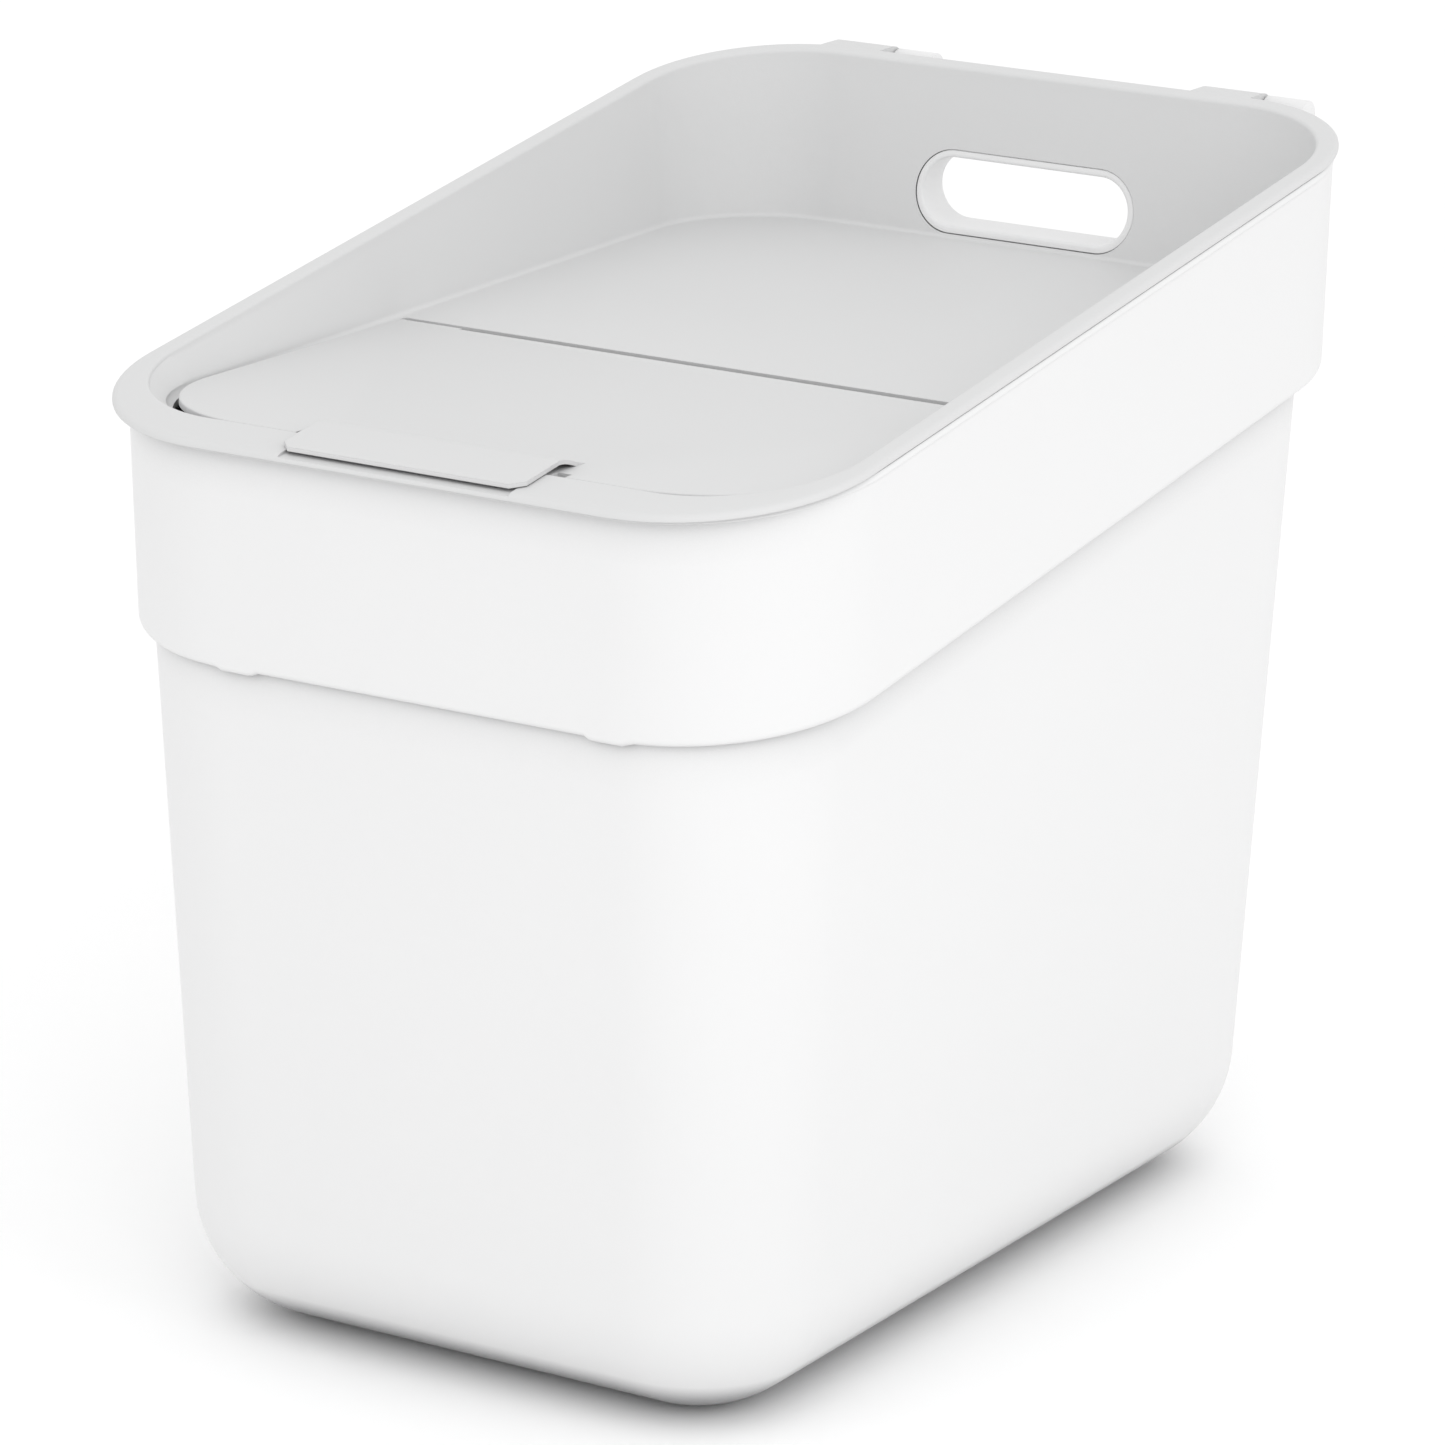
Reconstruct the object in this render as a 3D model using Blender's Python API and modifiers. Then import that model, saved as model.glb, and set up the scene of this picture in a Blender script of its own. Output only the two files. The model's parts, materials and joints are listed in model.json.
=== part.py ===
"""Lidded plastic bin: tapered body, fixed lid frame with a tray, and a hinged front flap.

Three moulded pieces. The lid frame swings on two rear knuckle pairs, and the flap swings on
two stub pins in the lid frame. Front is -Y, up is +Z, and the origin is on the floor, below the
middle of the rim.
"""

import math

import bmesh
import bpy
from mathutils import Matrix, Vector

MM = 0.001

# Rim: the outer outline of the lid, on a plane that rises to the rear.
LENGTH = 346.6 * MM
WIDTH = 234.8 * MM
FRONT_HEIGHT = 266.2 * MM
REAR_HEIGHT = 315.8 * MM
RIM_FRONT_RADIUS = 51.0 * MM
RIM_REAR_RADIUS = 47.5 * MM

# Body wall. The insets are from the rim outline, at the floor.
BODY_WALL = 2.0 * MM
BASE_INSET_SIDE = 18.2 * MM
BASE_INSET_FRONT = 18.7 * MM
BASE_INSET_REAR = 28.1 * MM
SIDE_DRAFT = math.radians(2.46)
FRONT_DRAFT = math.radians(2.35)
REAR_DRAFT = math.radians(4.13)
BASE_FILLET = 36.0 * MM
BASE_CORNER_RADIUS = 38.6 * MM
CORNER_DRAFT = math.radians(1.25)

# Collar: the flared band round the top of the body.
COLLAR_HEIGHT = 66.4 * MM
COLLAR_INSET_SIDE = 0.7 * MM
COLLAR_INSET_FRONT = 5.2 * MM
COLLAR_INSET_REAR = 0.7 * MM
COLLAR_DRAFT = math.radians(1.5)
COLLAR_FRONT_RADIUS = 53.0 * MM
COLLAR_REAR_RADIUS = 49.0 * MM
COLLAR_EDGE_RADIUS = 2.4 * MM
BEAD_HEIGHT = 2.4 * MM
BEAD_DEPTH = 0.4 * MM
LUG_WIDTH = 13.0 * MM
LUG_SPACING = 120.0 * MM
LUG_DROP = 1.4 * MM
LUG_DEPTH = 3.4 * MM
LUG_SETBACK = 0.3 * MM

# Lid frame.
LID_WALL = 1.9 * MM
BAND_WIDTH_SIDE = 6.2 * MM
BAND_WIDTH_FRONT = 16.2 * MM
BAND_WIDTH_REAR = 6.8 * MM
BAND_FRONT_RADIUS = 40.0 * MM
BAND_REAR_RADIUS = 42.0 * MM
RIM_ROLL = 0.9 * MM
RIM_ROUND = 1.6 * MM
RIM_SHOULDER = 0.4 * MM
LIP_CHAMFER = 0.3 * MM
BAND_EDGE = 1.0 * MM
BAND_EDGE_DROP = 0.9 * MM
TRAY_RADIUS_STEP_FRONT = 2.0 * MM
TRAY_RADIUS_STEP_REAR = 4.0 * MM
TRAY_DROP = 51.6 * MM
TRAY_LEAN_SIDE = 5.7 * MM
TRAY_LEAN_FRONT = 1.2 * MM
TRAY_LEAN_REAR = 8.8 * MM
TRAY_FILLET = 1.6 * MM
SEAT_GAP = 0.7 * MM

# Flap and its opening.
FLAP_THICKNESS = 2.0 * MM
FLAP_GAP = 0.6 * MM
OPENING_INSET_SIDE = 14.6 * MM
OPENING_INSET_FRONT = 16.8 * MM
OPENING_FRONT_RADIUS = 38.0 * MM
OPENING_REAR_RADIUS = 0.8 * MM
OPENING_LENGTH = 136.5 * MM
FLAP_EXTRA_RADIUS = 2.0 * MM
FLAP_REAR_RISE = 0.4 * MM
FLAP_FRONT_DROP = 0.8 * MM
FLAP_BARREL_RADIUS = 3.2 * MM
BARREL_STEP = 0.25 * MM
FLAP_EAR_LENGTH = 21.5 * MM
FLAP_GROOVE = 2.6 * MM
FLAP_PIN_RADIUS = 1.4 * MM
FLAP_PIN_LENGTH = 2.8 * MM
FLAP_BOSS_WIDTH = 3.6 * MM
FLAP_BOSS_HALF = 3.64 * MM
FLAP_BORE_DEPTH = 4.3 * MM
SKIRT_HEIGHT = 4.0 * MM
SKIRT_WIDTH = 1.6 * MM
SKIRT_INSET = 6.0 * MM
SKIRT_REAR_RADIUS = 4.0 * MM

# Thumb tab at the flap's front edge.
TAB_WIDTH = 78.0 * MM
TAB_SETBACK = 2.6 * MM
TAB_THICKNESS = 1.2 * MM
TAB_CLEARANCE = 0.3 * MM
TAB_CHAMFER = 3.5 * MM
TAB_ROOT = 4.0 * MM
TAB_RAMP = 14.0 * MM
SCOOP_DEPTH = 0.7 * MM
SCOOP_LENGTH = 8.0 * MM
SCOOP_SIDE_INSET = 2.0 * MM
NOTCH_WIDTH = 4.4 * MM
NOTCH_LENGTH = 3.4 * MM

# Hand slot through the rear walls.
SLOT_WIDTH = 75.5 * MM
SLOT_HEIGHT = 25.1 * MM
SLOT_FLOOR_GAP = 1.2 * MM
SLOT_GAP = 0.4 * MM
SLEEVE_WALL = 2.3 * MM
SLEEVE_RECESS = 0.4 * MM
SLOT_BEVEL = 0.9 * MM

# Rear hinge. The axis is measured from the rear edge of the rim.
HINGE_SETBACK = 9.7 * MM
HINGE_DROP = 5.8 * MM
KNUCKLE_RADIUS = 4.5 * MM
HINGE_PIN_RADIUS = 2.0 * MM
PIN_CLEARANCE = 0.3 * MM
LID_KNUCKLE_LENGTH = 22.0 * MM
BODY_KNUCKLE_LENGTH = 14.0 * MM
KNUCKLE_GAP = 0.4 * MM
HINGE_INSET = 53.4 * MM
HINGE_SHIFT = 1.5 * MM
STRAP_THICKNESS = 2.2 * MM
STRAP_RISE = 0.85 * MM
STRAP_REACH = 0.6 * MM
STRAP_STEP = 0.4 * MM
PIN_END_GAP = 2.0 * MM
BORE_END_WALL = 1.0 * MM
PIN_ROOT = 3.0 * MM

# Working allowances: how far shapes join into each other and how far a cutter passes beyond.
JOIN = 2.0 * MM
FLUSH_STEP = 0.1 * MM
CUT_MARGIN = 3.0 * MM
DEEP_CUT = 10.0 * MM
TALL_CUT = 20.0 * MM

CORNER_STEPS = 8
FILLET_STEPS = 6
EDGE_STEPS = 3
RAMP_STEPS = 6
ROUND_STEPS = 24
SETTLE_PASSES = 4

# Places worked out from the sizes above.
RISE = (REAR_HEIGHT - FRONT_HEIGHT) / LENGTH
TRAY_TOP = REAR_HEIGHT - TRAY_DROP
OPENING_FRONT_Y = -LENGTH / 2 + OPENING_INSET_FRONT
TRAY_EDGE_Y = OPENING_FRONT_Y + OPENING_LENGTH
OPENING_HALF = WIDTH / 2 - OPENING_INSET_SIDE
FLAP_HALF = OPENING_HALF - FLAP_GAP
FLAP_FRONT_Y = OPENING_FRONT_Y + FLAP_GAP
FLAP_AXIS_Y = TRAY_EDGE_Y - FLAP_GAP - FLAP_BARREL_RADIUS
FLAP_AXIS_Z = TRAY_TOP + FLAP_REAR_RISE - FLAP_BARREL_RADIUS
HINGE_Y = LENGTH / 2 + HINGE_SETBACK
HINGE_Z = REAR_HEIGHT - HINGE_DROP
HINGE_SPACING = WIDTH - 2 * HINGE_INSET
SLOT_Z = TRAY_TOP + SLOT_FLOOR_GAP + SLOT_HEIGHT / 2
BODY_TOP_DROP = LID_WALL + LIP_CHAMFER + SEAT_GAP

WHITE = (0.86, 0.87, 0.87, 1.0)
GREY = (0.62, 0.63, 0.63, 1.0)


def rim_z(y, drop=0.0):
    """Height of the rim plane at y, or of a plane that far below it."""
    return FRONT_HEIGHT + RISE * (y + LENGTH / 2) - drop


def flap_z(y, drop=0.0):
    """Height of the flap's top at y: level with the tray behind, close to the rim in front."""
    front = rim_z(FLAP_FRONT_Y, FLAP_FRONT_DROP)
    rear = FLAP_AXIS_Z + FLAP_BARREL_RADIUS
    share = (FLAP_AXIS_Y - y) / (FLAP_AXIS_Y - FLAP_FRONT_Y)
    return rear + (front - rear) * share - drop


def lid_rear_y(z):
    """The lid's rear inner wall at height z. It leans from the tray to the band."""
    top_y = LENGTH / 2 - BAND_WIDTH_REAR
    top_z = rim_z(top_y)
    share = (top_z - z) / (top_z - TRAY_TOP)
    return top_y - TRAY_LEAN_REAR * share


def clear_scene():
    for old in list(bpy.data.objects):
        bpy.data.objects.remove(old, do_unlink=True)


def new_collection(name):
    made = bpy.data.collections.new(name)
    bpy.context.scene.collection.children.link(made)
    return made


def plastic(name, colour, roughness):
    material = bpy.data.materials.new(name)
    material.use_nodes = True
    shader = material.node_tree.nodes["Principled BSDF"]
    shader.inputs["Base Color"].default_value = colour
    shader.inputs["Roughness"].default_value = roughness
    shader.inputs["Metallic"].default_value = 0.0
    return material


def corner(x, y, radius, start):
    """Quarter arc inside the corner (x, y), from the angle start in degrees."""
    centre_x = x - math.copysign(radius, x)
    centre_y = y - math.copysign(radius, y)
    angles = [math.radians(start + 90 * i / CORNER_STEPS) for i in range(CORNER_STEPS + 1)]
    return [(centre_x + radius * math.cos(a), centre_y + radius * math.sin(a)) for a in angles]


def rounded(half, y_front, y_rear, front_radius, rear_radius):
    """Rounded rectangle seen from above, counter-clockwise."""
    points = corner(half, y_rear, rear_radius, 0)
    points += corner(-half, y_rear, rear_radius, 90)
    points += corner(-half, y_front, front_radius, 180)
    points += corner(half, y_front, front_radius, 270)
    return points


def inset_outline(inset, front_radius, rear_radius):
    """The rim outline set in by (side, front, rear)."""
    side, front, rear = inset
    return rounded(
        WIDTH / 2 - side, -LENGTH / 2 + front, LENGTH / 2 - rear, front_radius, rear_radius
    )


def on_rim_plane(points, drop):
    return [Vector((x, y, rim_z(y, drop))) for x, y in points]


def at_height(points, z):
    return [Vector((x, y, z)) for x, y in points]


def new_object(name, mesh, collection):
    obj = bpy.data.objects.new(name, mesh)
    collection.objects.link(obj)
    return obj


def loft(name, rings, collection, close_start=False, close_end=False):
    """Quads between rings that each hold the same number of points."""
    mesh = bpy.data.meshes.new(name)
    shape = bmesh.new()
    rows = [[shape.verts.new(point) for point in ring] for ring in rings]
    for lower, upper in zip(rows, rows[1:]):
        for i in range(len(lower)):
            j = (i + 1) % len(lower)
            shape.faces.new((lower[i], lower[j], upper[j], upper[i]))
    if close_start:
        shape.faces.new(list(reversed(rows[0])))
    if close_end:
        shape.faces.new(rows[-1])
    shape.to_mesh(mesh)
    shape.free()
    return new_object(name, mesh, collection)


def prism(name, points, low, high, collection):
    """A plan outline extruded from the height low(y) to the height high(y)."""
    bottom = [Vector((x, y, low(y))) for x, y in points]
    top = [Vector((x, y, high(y))) for x, y in points]
    return loft(name, [bottom, top], collection, True, True)


def bar(name, profile, x_low, x_high, collection):
    """A profile of (y, z) points, counter-clockwise seen from +X, extruded along X."""
    ends = [[Vector((x, y, z)) for y, z in profile] for x in (x_low, x_high)]
    return loft(name, ends, collection, True, True)


def box(name, low, high, collection):
    mesh = bpy.data.meshes.new(name)
    shape = bmesh.new()
    bmesh.ops.create_cube(shape, size=1.0)
    size = Vector(high) - Vector(low)
    middle = (Vector(high) + Vector(low)) / 2
    bmesh.ops.transform(
        shape, matrix=Matrix.Translation(middle) @ Matrix.Diagonal((*size, 1.0)), verts=shape.verts
    )
    shape.to_mesh(mesh)
    shape.free()
    return new_object(name, mesh, collection)


def rod(name, x_low, x_high, y, z, radius, collection):
    """A round bar along X."""
    mesh = bpy.data.meshes.new(name)
    shape = bmesh.new()
    bmesh.ops.create_cone(
        shape,
        cap_ends=True,
        segments=ROUND_STEPS,
        radius1=radius,
        radius2=radius,
        depth=x_high - x_low,
        matrix=Matrix.Translation(((x_low + x_high) / 2, y, z)) @ Matrix.Rotation(math.pi / 2, 4, "Y"),
    )
    shape.to_mesh(mesh)
    shape.free()
    return new_object(name, mesh, collection)


def stadium(width, height):
    """A slot outline with full-round ends, as (x, z) from its centre, seen from -Y."""
    radius = height / 2
    reach = width / 2 - radius
    points = []
    for side, start in ((1, -90), (-1, 90)):
        for i in range(2 * CORNER_STEPS + 1):
            angle = math.radians(start + 180 * i / (2 * CORNER_STEPS))
            points.append((side * reach + radius * math.cos(angle), radius * math.sin(angle)))
    return points


def slot_solid(name, sections, collection):
    """A solid through the rear walls, from sections of (width, height, y as a function of z)."""
    rings = []
    for width, height, place in sections:
        outline = stadium(width, height)
        rings.append([Vector((x, place(SLOT_Z + z), SLOT_Z + z)) for x, z in outline])
    return loft(name, rings, collection, True, True)


def combine(obj, tools, operation):
    for tool in tools:
        change = obj.modifiers.new(operation.lower(), "BOOLEAN")
        change.operation = operation
        change.solver = "EXACT"
        change.object = tool


def bake_modifiers(obj):
    """Keeps the evaluated shape as the object's own mesh."""
    bpy.context.view_layer.update()
    result = bpy.data.meshes.new_from_object(obj.evaluated_get(bpy.context.evaluated_depsgraph_get()))
    obj.modifiers.clear()
    obj.data = result


def thicken(obj, thickness):
    shell = obj.modifiers.new("wall", "SOLIDIFY")
    shell.thickness = thickness
    shell.offset = -1.0
    shell.use_even_offset = True


def finish(obj, material, axis_point):
    """Shades the piece and sets its origin on the point that it turns about."""
    bake_modifiers(obj)
    obj.data.materials.clear()
    obj.data.materials.append(material)
    obj.data.transform(Matrix.Translation(-Vector(axis_point)))
    obj.location = axis_point
    obj.data.shade_smooth()
    obj.data.set_sharp_from_angle(angle=math.radians(30))


def hide_tools(collection):
    for tool in collection.objects:
        tool.hide_render = True
        tool.display_type = "WIRE"


# Body


def wall_outline(z):
    """Outer face of the tapered wall at height z."""
    return inset_outline(
        (
            BASE_INSET_SIDE - z * math.tan(SIDE_DRAFT),
            BASE_INSET_FRONT - z * math.tan(FRONT_DRAFT),
            BASE_INSET_REAR - z * math.tan(REAR_DRAFT),
        ),
        BASE_CORNER_RADIUS + z * math.tan(CORNER_DRAFT),
        BASE_CORNER_RADIUS + z * math.tan(CORNER_DRAFT),
    )


def base_ring(angle):
    """One ring of the fillet between the floor and the wall."""
    height = BASE_FILLET * (1 - math.cos(angle))
    extra = BASE_FILLET * (1 - math.sin(angle))
    radius = BASE_CORNER_RADIUS + height * math.tan(CORNER_DRAFT) - extra
    inset = (
        BASE_INSET_SIDE - height * math.tan(SIDE_DRAFT) + extra,
        BASE_INSET_FRONT - height * math.tan(FRONT_DRAFT) + extra,
        BASE_INSET_REAR - height * math.tan(REAR_DRAFT) + extra,
    )
    return at_height(inset_outline(inset, radius, radius), height)


def wall_top_ring():
    """Where the tapered wall meets the underside of the collar."""
    drop = COLLAR_HEIGHT
    points = wall_outline(rim_z(0.0, drop))
    for _ in range(SETTLE_PASSES):
        points = [wall_outline(rim_z(y, drop))[i] for i, (x, y) in enumerate(points)]
    return on_rim_plane(points, drop)


def collar_ring(drop, extra=0.0):
    """A ring of the collar's outer face, that far below the rim plane, set in by extra."""
    lean = extra + (drop - BODY_TOP_DROP) * math.tan(COLLAR_DRAFT)
    inset = (COLLAR_INSET_SIDE + lean, COLLAR_INSET_FRONT + lean, COLLAR_INSET_REAR + lean)
    points = inset_outline(inset, COLLAR_FRONT_RADIUS - lean, COLLAR_REAR_RADIUS - lean)
    return on_rim_plane(points, drop)


def body_shell(tools):
    fillet = [math.radians(90 * i / FILLET_STEPS) for i in range(FILLET_STEPS + 1)]
    rings = [base_ring(angle) for angle in fillet]
    rings.append(wall_top_ring())
    for i in range(EDGE_STEPS + 1):
        angle = math.radians(90 * i / EDGE_STEPS)
        low = COLLAR_HEIGHT - COLLAR_EDGE_RADIUS * (1 - math.cos(angle))
        rings.append(collar_ring(low, COLLAR_EDGE_RADIUS * (1 - math.sin(angle))))
    bead_bottom = BODY_TOP_DROP + BEAD_HEIGHT
    rings.append(collar_ring(bead_bottom))
    rings.append(collar_ring(bead_bottom - BEAD_DEPTH, -BEAD_DEPTH))
    rings.append(collar_ring(BODY_TOP_DROP, -BEAD_DEPTH))
    shell = loft("bin_body", rings, tools, close_start=True)
    thicken(shell, BODY_WALL)
    bake_modifiers(shell)
    return shell


def collar_rear_y(z):
    """Outer face of the collar's rear wall at height z."""
    lean = (rim_z(LENGTH / 2) - z - BODY_TOP_DROP) * math.tan(COLLAR_DRAFT)
    return LENGTH / 2 - COLLAR_INSET_REAR - lean


def hinge_starts():
    """Where each hinge pair begins along X: the lid's knuckle, then the body's."""
    pair = LID_KNUCKLE_LENGTH + BODY_KNUCKLE_LENGTH
    return [HINGE_SHIFT + side * HINGE_SPACING / 2 - pair / 2 for side in (-1, 1)]


def body_knuckle(start, tools):
    low = start + LID_KNUCKLE_LENGTH + KNUCKLE_GAP / 2
    high = low + BODY_KNUCKLE_LENGTH - KNUCKLE_GAP / 2
    root = collar_rear_y(HINGE_Z) - BODY_WALL / 2
    bracket = [
        (root, HINGE_Z - 2.2 * KNUCKLE_RADIUS),
        (root + BODY_WALL, HINGE_Z - 2.2 * KNUCKLE_RADIUS),
        (HINGE_Y + 0.6 * KNUCKLE_RADIUS, HINGE_Z - 0.8 * KNUCKLE_RADIUS),
        (HINGE_Y, HINGE_Z + 0.6 * KNUCKLE_RADIUS),
        (root, HINGE_Z + 0.4 * KNUCKLE_RADIUS),
    ]
    return [
        bar("body_bracket", bracket, low, high, tools),
        rod("body_knuckle", low, high, HINGE_Y, HINGE_Z, KNUCKLE_RADIUS, tools),
    ]


def body_bore(start, tools):
    low = start + LID_KNUCKLE_LENGTH
    high = low + BODY_KNUCKLE_LENGTH - BORE_END_WALL
    radius = HINGE_PIN_RADIUS + PIN_CLEARANCE
    return rod("body_bore", low - MM, high, HINGE_Y, HINGE_Z, radius, tools)


def front_lug(side, tools):
    """A small catch under the front of the collar."""
    middle = side * LUG_SPACING / 2
    lean = (COLLAR_HEIGHT - BODY_TOP_DROP) * math.tan(COLLAR_DRAFT)
    front = -LENGTH / 2 + COLLAR_INSET_FRONT + lean
    under = rim_z(front, COLLAR_HEIGHT)
    return box(
        "front_lug",
        (middle - LUG_WIDTH / 2, front + LUG_SETBACK, under - LUG_DROP),
        (middle + LUG_WIDTH / 2, front + LUG_DEPTH, under + BODY_WALL / 2),
        tools,
    )


def make_body(parts, tools, material):
    body = body_shell(parts)
    outer = (SLOT_WIDTH - 2 * SLOT_GAP, SLOT_HEIGHT - 2 * SLOT_GAP)
    inner = (outer[0] - 2 * SLEEVE_WALL, outer[1] - 2 * SLEEVE_WALL)
    sleeve = slot_solid(
        "hand_sleeve",
        [
            (*outer, lambda z: collar_rear_y(z) - BODY_WALL / 2),
            (*outer, lambda z: lid_rear_y(z) + SLEEVE_RECESS),
        ],
        tools,
    )
    hole = slot_solid(
        "hand_hole",
        [(*inner, lambda z: HINGE_Y), (*inner, lambda z: lid_rear_y(z) - CUT_MARGIN)],
        tools,
    )
    added = [sleeve] + [front_lug(side, tools) for side in (-1, 1)]
    cut = [hole]
    for start in hinge_starts():
        added += body_knuckle(start, tools)
        cut.append(body_bore(start, tools))
    combine(body, added, "UNION")
    combine(body, cut, "DIFFERENCE")
    finish(body, material, (0, 0, 0))
    return body


# Lid frame


def band_inset(extra=0.0):
    return (BAND_WIDTH_SIDE + extra, BAND_WIDTH_FRONT + extra, BAND_WIDTH_REAR + extra)


def tray_inset(extra=0.0):
    return (
        BAND_WIDTH_SIDE + TRAY_LEAN_SIDE + extra,
        BAND_WIDTH_FRONT + TRAY_LEAN_FRONT + extra,
        BAND_WIDTH_REAR + TRAY_LEAN_REAR + extra,
    )


def lid_shell(collection):
    """The band, the leaning inner wall and the tray, as one moulded skin with both its faces."""

    def rim_ring(inset, drop):
        radii = (RIM_FRONT_RADIUS - inset, RIM_REAR_RADIUS - inset)
        return on_rim_plane(inset_outline((inset, inset, inset), *radii), drop)

    def band_ring(extra, drop):
        radii = (BAND_FRONT_RADIUS - extra, BAND_REAR_RADIUS - extra)
        return on_rim_plane(inset_outline(band_inset(extra), *radii), drop)

    def tray_ring(extra, drop):
        radii = (
            BAND_FRONT_RADIUS - TRAY_RADIUS_STEP_FRONT - extra,
            BAND_REAR_RADIUS - TRAY_RADIUS_STEP_REAR - extra,
        )
        return at_height(inset_outline(tray_inset(extra), *radii), TRAY_TOP - drop)

    top = [
        tray_ring(TRAY_FILLET, 0.0),
        tray_ring(0.0, -TRAY_FILLET),
        band_ring(0.0, BAND_EDGE_DROP),
        band_ring(-BAND_EDGE, 0.0),
        rim_ring(RIM_ROUND, 0.0),
        rim_ring(RIM_SHOULDER, RIM_ROLL / 3),
        rim_ring(0.0, RIM_ROLL),
    ]
    underside = [
        rim_ring(0.0, LID_WALL),
        rim_ring(LIP_CHAMFER, LID_WALL + LIP_CHAMFER),
        band_ring(-LID_WALL, LID_WALL + LIP_CHAMFER),
        tray_ring(-LID_WALL, -TRAY_FILLET / 2),
        tray_ring(TRAY_FILLET, LID_WALL),
    ]
    shell = loft("lid_frame", top + underside, collection, close_end=True)
    shape = bmesh.new()
    shape.from_mesh(shell.data)
    shape.verts.ensure_lookup_table()
    shape.faces.new(list(reversed(shape.verts[: len(top[0])])))
    bmesh.ops.recalc_face_normals(shape, faces=shape.faces)
    shape.to_mesh(shell.data)
    shape.free()
    return shell


def opening_outline(gap=0.0, extra_radius=0.0, rear_y=TRAY_EDGE_Y):
    """Plan outline of the opening, or of the flap when gap is its clearance."""
    radius = OPENING_FRONT_RADIUS + extra_radius
    return rounded(
        OPENING_HALF - gap, OPENING_FRONT_Y + gap, rear_y - gap, radius, OPENING_REAR_RADIUS
    )


def lid_strap(start, tools):
    """The strap, knuckle and pin of one lid hinge."""
    low = start
    high = start + LID_KNUCKLE_LENGTH - KNUCKLE_GAP / 2
    root = LENGTH / 2 - JOIN
    edge = LENGTH / 2 + STRAP_REACH
    profile = [
        (root, rim_z(root, LID_WALL - FLUSH_STEP)),
        (edge, rim_z(edge, LID_WALL)),
        (HINGE_Y - 0.4 * KNUCKLE_RADIUS, HINGE_Z + KNUCKLE_RADIUS - STRAP_THICKNESS),
        (HINGE_Y + 0.5 * KNUCKLE_RADIUS, HINGE_Z + 0.8 * KNUCKLE_RADIUS),
        (HINGE_Y, HINGE_Z + KNUCKLE_RADIUS + 0.6 * STRAP_RISE),
        (HINGE_Y - 0.35 * KNUCKLE_RADIUS, HINGE_Z + KNUCKLE_RADIUS + STRAP_RISE),
        (edge, rim_z(edge, STRAP_STEP)),
        (root, rim_z(root, STRAP_STEP)),
    ]
    tip = high + KNUCKLE_GAP + BODY_KNUCKLE_LENGTH - PIN_END_GAP
    return [
        bar("lid_strap", profile, low, high, tools),
        rod("lid_knuckle", low, high, HINGE_Y, HINGE_Z, KNUCKLE_RADIUS, tools),
        rod("lid_pin", high - PIN_ROOT, tip, HINGE_Y, HINGE_Z, HINGE_PIN_RADIUS, tools),
    ]


def flap_boss(side, tools):
    """Block under the tray's edge that carries one of the flap's pins."""
    x_low, x_high = sorted((side * OPENING_HALF, side * (OPENING_HALF + FLAP_BOSS_WIDTH)))
    return box(
        "flap_boss",
        (x_low, FLAP_AXIS_Y - FLAP_BOSS_HALF, FLAP_AXIS_Z - FLAP_BOSS_HALF),
        (x_high, FLAP_AXIS_Y + FLAP_BOSS_HALF, TRAY_TOP - LIP_CHAMFER),
        tools,
    )


def flap_bore(side, tools):
    x_low, x_high = sorted((side * (OPENING_HALF - MM), side * (OPENING_HALF + FLAP_BORE_DEPTH)))
    radius = FLAP_PIN_RADIUS + PIN_CLEARANCE
    return rod("flap_bore", x_low, x_high, FLAP_AXIS_Y, FLAP_AXIS_Z, radius, tools)


def scoop(tools):
    """Shallow step in the front band that lets a fingertip under the tab."""
    half = TAB_WIDTH / 2 - SCOOP_SIDE_INSET
    points = [
        (-half, -LENGTH / 2 - MM),
        (half, -LENGTH / 2 - MM),
        (half, -LENGTH / 2 + SCOOP_LENGTH),
        (-half, -LENGTH / 2 + SCOOP_LENGTH),
    ]
    return prism(
        "scoop", points, lambda y: rim_z(y, SCOOP_DEPTH), lambda y: rim_z(y, -CUT_MARGIN), tools
    )


def make_lid(parts, tools, material):
    lid = lid_shell(parts)
    opening = prism(
        "flap_opening",
        opening_outline(),
        lambda y: TRAY_TOP - DEEP_CUT,
        lambda y: rim_z(OPENING_FRONT_Y) + MM,
        tools,
    )
    wide = 2 * SLOT_BEVEL
    depth = LID_WALL + FLUSH_STEP
    slot = slot_solid(
        "lid_slot",
        [
            (SLOT_WIDTH + 3 * wide, SLOT_HEIGHT + 3 * wide, lambda z: lid_rear_y(z) + 3 * depth),
            (SLOT_WIDTH + wide, SLOT_HEIGHT + wide, lambda z: lid_rear_y(z) + depth),
            (SLOT_WIDTH, SLOT_HEIGHT, lambda z: lid_rear_y(z)),
            (SLOT_WIDTH, SLOT_HEIGHT, lambda z: lid_rear_y(z) - CUT_MARGIN),
        ],
        tools,
    )
    sides = (-1, 1)
    added = [flap_boss(side, tools) for side in sides]
    for start in hinge_starts():
        added += lid_strap(start, tools)
    combine(lid, [opening, slot, scoop(tools)], "DIFFERENCE")
    combine(lid, added, "UNION")
    combine(lid, [flap_bore(side, tools) for side in sides], "DIFFERENCE")
    finish(lid, material, (0, HINGE_Y, HINGE_Z))
    return lid


# Flap


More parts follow.
